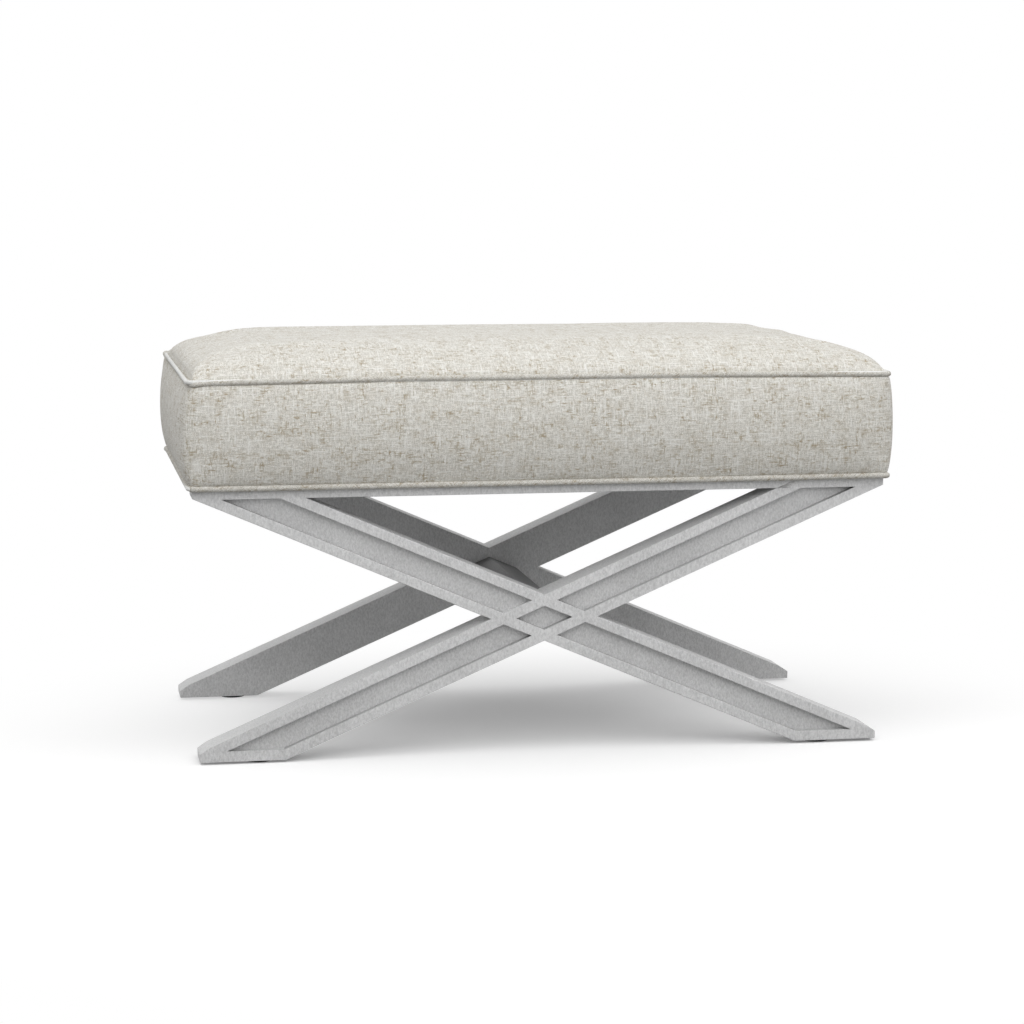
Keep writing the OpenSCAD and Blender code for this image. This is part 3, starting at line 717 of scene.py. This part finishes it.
class Tree:
    """The node tree of a material or world: node() adds a node, sets its values and links it."""

    def __init__(self, owner):
        owner.use_nodes = True
        self.owner = owner
        self.tree = owner.node_tree
        self.shader = self.tree.nodes.get("Principled BSDF")

    def put(self, socket, value):
        """Links a node's output to the socket, or sets the socket to a plain value."""
        if isinstance(value, bpy.types.NodeSocket):
            self.tree.links.new(value, socket)
        else:
            socket.default_value = value

    def node(self, kind, links=(), **values):
        made = self.tree.nodes.new(kind)
        for key, value in values.items():
            if hasattr(made, key):
                setattr(made, key, value)
            else:
                made.inputs[key.replace("_", " ")].default_value = value
        for key, value in dict(links).items():
            self.put(made.inputs[key], value)
        return made

    def surface(self, **values):
        for key, value in values.items():
            self.put(self.shader.inputs[key.replace("_", " ")], value)

    def finish(self, shader, output):
        self.tree.links.new(shader.outputs[0], self.tree.nodes[output].inputs["Surface"])

    def noise(self, vector, scale, detail=2.0, roughness=0.5, stretch=(1, 1, 1), turn=(0, 0, 0)):
        mapped = self.node("ShaderNodeMapping", {"Vector": vector}, Scale=stretch, Rotation=turn)
        made = self.node(
            "ShaderNodeTexNoise", {"Vector": mapped.outputs[0]},
            Scale=scale, Detail=detail, Roughness=roughness,
        )
        return made.outputs["Fac"]

    def snapped(self, vector, steps):
        """The vector held at multiples of the steps, so that a noise on it stays within threads."""
        return self.node("ShaderNodeVectorMath", {0: vector, 1: steps}, operation="SNAP").outputs[0]

    def spread(self, value, low, high, to_low=0.0, to_high=1.0):
        """The value from low to high drawn out from to_low to to_high, and held beyond."""
        ends = {"From Min": low, "From Max": high, "To Min": to_low, "To Max": to_high}
        return self.node("ShaderNodeMapRange", {"Value": value, **ends}).outputs[0]

    def math(self, operation, *values):
        made = self.node("ShaderNodeMath", operation=operation)
        for socket, value in zip(made.inputs, values):
            self.put(socket, value)
        return made.outputs[0]

    def mix(self, factor, a, b):
        """A colour between two colours; a plain one is given as red, green and blue."""
        made = self.node("ShaderNodeMix", {"Factor": factor}, data_type="RGBA")
        for socket, value in ((made.inputs[6], a), (made.inputs[7], b)):
            self.put(socket, (*value, 1) if isinstance(value, tuple) else value)
        return made.outputs[2]

    def scaled(self, colour, factor):
        made = self.node("ShaderNodeVectorMath", {0: colour, "Scale": factor}, operation="SCALE")
        return made.outputs[0]

    def bump(self, height, strength, distance):
        made = self.node("ShaderNodeBump", {"Height": height}, Strength=strength, Distance=distance)
        return made.outputs[0]

    def place(self):
        return self.node("ShaderNodeTexCoord").outputs["Object"]


def new_tree(name):
    return Tree(bpy.data.materials.new(name))


DULL_THREAD, PALE_THREAD = (0.45, 0.43, 0.38), (0.88, 0.865, 0.815)
WHITE_THREAD, BROWN_THREAD = (0.90, 0.90, 0.875), (0.31, 0.235, 0.125)
SILVER_DULL, SILVER_BRIGHT = (0.51, 0.51, 0.51), (0.75, 0.75, 0.75)

# Metres from thread to thread, and a step along a thread that is too small to see
WARP_PITCH, WEFT_PITCH, SMOOTH_STEP = 0.00085, 0.00080, 0.00001
# Features of the cloth to the metre, across and along the roll
WARP, WEFT, FUZZ = (900, 150, 1), (140, 940, 1), (1250, 1150, 1)
WARP_SLUBS, WEFT_SLUBS = (520, 110, 1), (105, 560, 1)
WARP_CLUSTERS, WEFT_CLUSTERS = (70, 26, 1), (24, 75, 1)
PALE_WARP, PALE_WEFT = (420, 34, 1), (30, 440, 1)
WARM_PATCHES = 60
# Shares with which warm patches and slubs colour the cloth
WARM_SHARE, BROWN_SHARE = 0.15, 0.74


def linen(name, shade, streaks):
    """Plain-woven melange: pale threads both ways, with beige and brown slubs in clusters."""
    t = new_tree(name)
    uv = t.node("ShaderNodeUVMap", uv_map="cloth").outputs[0]
    by_warp = t.snapped(uv, (WARP_PITCH, SMOOTH_STEP, 1))
    by_weft = t.snapped(uv, (SMOOTH_STEP, WEFT_PITCH, 1))
    # Slubs, which lie in clusters
    warp_slub = t.spread(t.noise(by_warp, 1, 2.0, 0.55, WARP_SLUBS), 0.55, 0.66)
    weft_slub = t.spread(t.noise(by_weft, 1, 2.0, 0.55, WEFT_SLUBS), 0.53, 0.64)
    slub = t.math("MAXIMUM", warp_slub, weft_slub)
    across = t.spread(t.noise(uv, 1, 3.0, 0.65, WARP_CLUSTERS), 0.50, 0.62)
    along = t.spread(t.noise(uv, 1, 3.0, 0.65, WEFT_CLUSTERS), 0.50, 0.62)
    clusters = t.math("MAXIMUM", across, along)
    brown = t.math("MULTIPLY", slub, t.spread(clusters, 0, 1, 0.08, 1.0))
    # Threads and the fuzz on them
    warp, weft = t.noise(by_warp, 1, 2.0, 0.6, WARP), t.noise(by_weft, 1, 2.0, 0.6, WEFT)
    threads = t.math("MULTIPLY", t.math("ADD", warp, weft), 0.5)
    fuzz = t.math("MULTIPLY", t.noise(uv, 1, 1.0, 0.6, FUZZ), 0.4)
    threads = t.math("ADD", t.math("MULTIPLY", threads, 0.6), fuzz)
    base = t.mix(t.spread(threads, 0.40, 0.60), DULL_THREAD, PALE_THREAD)
    # Pale streaks and warm patches
    pale_warp = t.spread(t.noise(by_warp, 1, 1.5, 0.5, PALE_WARP), 0.56, 0.68)
    pale_weft = t.spread(t.noise(by_weft, 1, 1.5, 0.5, PALE_WEFT), 0.57, 0.69)
    streak = t.math("MAXIMUM", pale_warp, pale_weft)
    pale = t.mix(t.math("MULTIPLY", streak, streaks), base, WHITE_THREAD)
    patch = t.spread(t.noise(uv, WARM_PATCHES, 3.0, 0.6), 0.50, 0.68)
    warm = t.mix(t.math("MULTIPLY", patch, WARM_SHARE), pale, BROWN_THREAD)
    colour = t.mix(t.math("MULTIPLY", brown, BROWN_SHARE), warm, BROWN_THREAD)
    weave = t.math("ADD", threads, t.math("MULTIPLY", slub, 0.35))
    t.surface(
        Base_Color=t.scaled(colour, shade), Roughness=0.92, Specular_IOR_Level=0.2,
        Sheen_Weight=0.15, Sheen_Roughness=0.45, Normal=t.bump(weave, 0.5, 0.0006),
    )
    return t.owner


# Painted shade on the silver: darker over the recessed panels, and on the up-facing ledges below them,
# where the borders shade them
RECESS_DEPTH = 0.009
PANEL_TOLERANCE = 0.0008
PANEL_PAINTED_SHADE = 0.09
LEDGE_PAINTED_SHADE = 0.75
LEDGE_REACH = 0.030
# How squarely a face looks to the front or back to count as part of a panel
PANEL_FACING = 0.7
# Crinkles of the leaf to the metre, and how they lean
CRINKLES, CRINKLE_LEAN = (520, 520, 280), (0, math.radians(20), 0)


def painted_recess_shade(t, at):
    """How much of the leaf's colour the painted shade leaves: less on the recessed panels, and on
    up-facing faces that the solid's own ambient occlusion finds shut in.
    """
    normal = t.node("ShaderNodeNewGeometry").outputs["Normal"]
    facing = t.node("ShaderNodeSeparateXYZ", {0: normal})
    depth = t.math("ABSOLUTE", t.node("ShaderNodeSeparateXYZ", {0: at}).outputs["Y"])
    deep = t.math("COMPARE", depth, OUTER_FACE - RECESS_DEPTH, PANEL_TOLERANCE)
    square = t.math("GREATER_THAN", t.math("ABSOLUTE", facing.outputs["Y"]), PANEL_FACING)
    panel = t.math("MULTIPLY", deep, square)
    # Ambient occlusion is used as painted shade: occluded faces that look up are painted darker
    occlusion = t.node(
        "ShaderNodeAmbientOcclusion", only_local=True, samples=8, Distance=LEDGE_REACH
    )
    shut = t.math("SUBTRACT", 1.0, occlusion.outputs["AO"])
    ledge = t.math("MULTIPLY", shut, t.math("MAXIMUM", facing.outputs["Z"], 0.0))
    on_panel = t.spread(panel, 0, 1, 1, 1 - PANEL_PAINTED_SHADE)
    return t.math("MULTIPLY", on_panel, t.spread(ledge, 0, 1, 1, 1 - LEDGE_PAINTED_SHADE))


def silver_leaf(name, shade):
    """Matt silver leaf on wood: fine crinkles and soft clouds, darkened by painted shade on the recessed
    panels and their ledges.
    """
    t = new_tree(name)
    at = t.place()
    crinkle = t.noise(at, 1, 4.0, 0.75, CRINKLES, CRINKLE_LEAN)
    grain = t.noise(at, 900, 2.0, 0.6)
    cloud = t.noise(at, 16, 3.0, 0.5)
    most = t.math("MULTIPLY", crinkle, 0.8)
    tone = t.math("ADD", most, t.math("MULTIPLY", cloud, 0.2))
    height = t.math("ADD", most, t.math("MULTIPLY", grain, 0.3))
    leaf = t.mix(t.spread(tone, 0.37, 0.63), SILVER_DULL, SILVER_BRIGHT)
    t.surface(
        Base_Color=t.scaled(leaf, t.math("MULTIPLY", painted_recess_shade(t, at), shade)), Metallic=0.15,
        Roughness=t.spread(crinkle, 0.3, 0.7, 0.45, 0.60), Specular_IOR_Level=0.4,
        Normal=t.bump(height, 0.7, 0.0010),
    )
    return t.owner


def black_plastic():
    t = new_tree("glide_black")
    at = t.place()
    t.surface(
        Base_Color=t.mix(t.noise(at, 300, 2.0), (0.008, 0.008, 0.008), (0.016, 0.016, 0.016)),
        Roughness=0.6, Specular_IOR_Level=0.15,
        Normal=t.bump(t.noise(at, 1500, 2.0), 0.1, 0.0003),
    )
    return t.owner


def steel():
    t = new_tree("zinc_steel")
    brushed = t.noise(t.place(), 1, 2.0, 0.5, (300, 300, 3000))
    t.surface(
        Base_Color=t.mix(brushed, (0.50, 0.51, 0.53), (0.62, 0.63, 0.65)), Metallic=1.0,
        Roughness=t.spread(brushed, 0.3, 0.7, 0.28, 0.42),
    )
    return t.owner


def raw_wood(name, pale, dark):
    t = new_tree(name)
    grain = t.noise(t.place(), 1, 4.0, 0.6, (12, 220, 220))
    t.surface(
        Base_Color=t.mix(t.spread(grain, 0.3, 0.7), dark, pale), Roughness=0.7,
        Normal=t.bump(grain, 0.2, 0.0005),
    )
    return t.owner


def woven(name, pale, dark, pitch):
    """A coarse plain weave, such as jute."""
    t = new_tree(name)
    at = t.place()
    a = t.noise(at, 1, 1.0, 0.5, (1 / pitch, 0.08 / pitch, 1))
    b = t.noise(at, 1, 1.0, 0.5, (0.08 / pitch, 1 / pitch, 1))
    both = t.math("MULTIPLY", t.math("ADD", a, b), 0.5)
    t.surface(
        Base_Color=t.mix(t.spread(both, 0.35, 0.65), dark, pale), Roughness=0.95,
        Normal=t.bump(both, 0.5, 0.0008),
    )
    return t.owner


def spongy(name, pale, dark, scale):
    t = new_tree(name)
    cells = t.noise(t.place(), scale, 3.0, 0.6)
    t.surface(
        Base_Color=t.mix(t.spread(cells, 0.35, 0.65), dark, pale), Roughness=0.95,
        Normal=t.bump(cells, 0.4, 0.0006),
    )
    return t.owner


def dress(names, material):
    for name in names:
        mesh = CAD[name].data
        mesh.materials.clear()
        mesh.materials.append(material)


# Pieces of the scene, their materials and what they stand for
cover = seat_cover()
upper = welt("upper_welt_cloth", UPPER_Z, WELT_R)
lower = welt("lower_welt_cloth", LOWER_Z, WELT_R + LOWER_WELT_MORE)
finished = finished_frames()
dust, dust_flat = dust_sheet()

# The piping's copy of the linen is painted darker, as painted shade against the light that the cords'
# rounded tops catch, and it has fewer pale streaks
LINEN, SHADED_PIPING = linen("linen", 1.0, 0.50), linen("shaded_linen_piping", 0.87, 0.20)
# The stretcher's copy of the silver is painted far darker, as painted shade for the shadow it stands in
# under the seat
SILVER, SHADED_SILVER = silver_leaf("silver_leaf", 1.0), silver_leaf("shaded_silver_leaf", 0.36)
BLACK, STEEL = black_plastic(), steel()
WOOD = raw_wood("beech", (0.60, 0.43, 0.25), (0.46, 0.31, 0.17))
JUTE = woven("jute", (0.42, 0.31, 0.17), (0.24, 0.17, 0.09), 0.0012)
CAMBRIC = woven("cambric", (0.030, 0.030, 0.032), (0.014, 0.014, 0.015), 0.0007)
FOAM = spongy("foam", (0.80, 0.70, 0.38), (0.66, 0.56, 0.28), 600)
FIBRE = spongy("fibre", (0.85, 0.85, 0.83), (0.70, 0.70, 0.68), 250)

for piece in (cover, upper, lower):
    piece.data.materials.append(LINEN if piece is cover else SHADED_PIPING)
    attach(piece, BODY)
for piece in finished:
    piece.data.materials.clear()
    # The stretcher gets the silver copy with painted shade
    piece.data.materials.append(SHADED_SILVER if piece.name.startswith("stretcher") else SILVER)
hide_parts("cover_top", "band_front", "band_right", "band_rear", "band_left", "batting_wrap")
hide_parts("upper_welt")
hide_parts("lower_welt")
dust.data.materials.append(CAMBRIC)
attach(dust, BODY)
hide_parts("dust_cover")

dress([n for n in CAD if n.endswith("_glide")], BLACK)
dress([n for n in CAD if n.endswith("_dowels") or n == "corner_blocks"], WOOD)
dress([n for n in CAD if n.startswith("seat_rail") or n == "seat_cross_rail"], WOOD)
dress(["front_seat_screws", "rear_seat_screws", "dust_cover_staples"], STEEL)
dress(["webbing_end_to_end", "webbing_front_to_back", "deck_cloth"], JUTE)
dress(["foam_core"], FOAM)
dress(["upper_welt_cord", "lower_welt_cord"], FIBRE)
dress(["dust_cover"], CAMBRIC)

# Stage: a pale floor that goes over into white, soft lamps and the camera
WHITE = (1, 1, 1, 1)
AMBIENT = 0.63
FLOOR_CORNERS = [(-9, -6, 0), (9, -6, 0), (9, 14, 0), (-9, 14, 0)]
FLOOR_WHITE = 0.98
FLOOR_BOUNCE = 0.25
FLOOR_GLOW = 0.12
# The floor goes over into white round a point in front of the middle, so sooner behind
WHITE_MIDDLE = (0.05, -0.34, 0)
WHITE_FROM, WHITE_TO = 0.38, 0.95
LAMP_AIM = Vector((0, 0, 0.3))
LAMP_DISTANCE = 2.8
LAMP_SIZE = 1.6
# Name, degrees round from the front, degrees up and watts
LAMPS = (
    ("front", 0, 30, 18),
    ("front_left", -50, 48, 14),
    ("front_right", 50, 48, 13),
    ("rear_left", -135, 45, 5),
    ("rear_right", 135, 45, 5),
)
CAMERA_AT = (-0.5817, -3.3405, 0.6873)
CAMERA_YAW, CAMERA_PITCH = 9.871, 7.349
LENS, SENSOR = 100, 36


def grey(level):
    return (level, level, level, 1)


def where_seen(t):
    """1 where the camera, a reflection or glass sees the surface, and 0 where only its light arrives."""
    path = t.node("ShaderNodeLightPath")
    seen = path.outputs["Is Camera Ray"]
    for other in ("Is Glossy Ray", "Is Transmission Ray"):
        seen = t.math("MAXIMUM", seen, path.outputs[other])
    return seen


def studio_world():
    """Plain light from all sides, which is seen as white."""
    world = bpy.data.worlds.new("studio")
    SCENE.world = world
    t = Tree(world)
    ambient = t.tree.nodes["Background"]
    ambient.inputs["Color"].default_value = WHITE
    ambient.inputs["Strength"].default_value = AMBIENT
    white = t.node("ShaderNodeBackground", Color=WHITE, Strength=1.0)
    shaders = {0: where_seen(t), 1: ambient.outputs[0], 2: white.outputs[0]}
    t.finish(t.node("ShaderNodeMixShader", shaders), "World Output")


def near_floor(t, seen):
    """The floor round the object, which sends less light back at it than the camera sees."""
    pale = t.node("ShaderNodeBsdfDiffuse", Color=grey(FLOOR_WHITE))
    dim = t.node("ShaderNodeBsdfDiffuse", Color=grey(FLOOR_BOUNCE))
    diffuse = t.node("ShaderNodeMixShader", {0: seen, 1: dim.outputs[0], 2: pale.outputs[0]})
    glow = t.node("ShaderNodeEmission", {"Strength": t.math("MULTIPLY", seen, FLOOR_GLOW)})
    return t.node("ShaderNodeAddShader", {0: diffuse.outputs[0], 1: glow.outputs[0]})


def floor_material():
    """The floor near the object, and plain white away from it."""
    t = new_tree("floor")
    t.tree.nodes.remove(t.shader)
    seen = where_seen(t)
    offset = t.node("ShaderNodeVectorMath", {0: t.place(), 1: WHITE_MIDDLE}, operation="SUBTRACT")
    distance = t.node("ShaderNodeVectorMath", {0: offset.outputs[0]}, operation="LENGTH")
    ends = {"Value": distance.outputs["Value"], "From Min": WHITE_FROM, "From Max": WHITE_TO}
    away = t.node("ShaderNodeMapRange", ends, interpolation_type="SMOOTHSTEP")
    share = t.math("MULTIPLY", away.outputs[0], seen)
    far = t.node("ShaderNodeEmission", Color=WHITE, Strength=1.0)
    shaders = {0: share, 1: near_floor(t, seen).outputs[0], 2: far.outputs[0]}
    t.finish(t.node("ShaderNodeMixShader", shaders), "Material Output")
    return t.owner


def softbox(name, turn, rise, watts):
    turn, rise = math.radians(turn), math.radians(rise)
    away = Vector((math.sin(turn) * math.cos(rise), -math.cos(turn) * math.cos(rise), math.sin(rise)))
    lamp = bpy.data.lights.new(name, "AREA")
    lamp.size = LAMP_SIZE
    lamp.energy = watts
    obj = bpy.data.objects.new(name, lamp)
    obj.location = LAMP_AIM + LAMP_DISTANCE * away
    obj.rotation_euler = away.to_track_quat("Z", "Y").to_euler()
    SCENE.collection.objects.link(obj)


def photo_camera():
    lens = bpy.data.cameras.new("camera")
    lens.lens = LENS
    lens.sensor_width = SENSOR
    camera = bpy.data.objects.new("camera", lens)
    camera.location = CAMERA_AT
    camera.rotation_euler = Euler((math.radians(90 - CAMERA_PITCH), 0, math.radians(-CAMERA_YAW)))
    SCENE.collection.objects.link(camera)
    SCENE.camera = camera


studio_world()
floor = new_object("floor", FLOOR_CORNERS, [(0, 1, 2, 3)], smooth=False)
floor.data.materials.append(floor_material())
for lamp_values in LAMPS:
    softbox(*lamp_values)
photo_camera()
SCENE.view_settings.view_transform = "Standard"
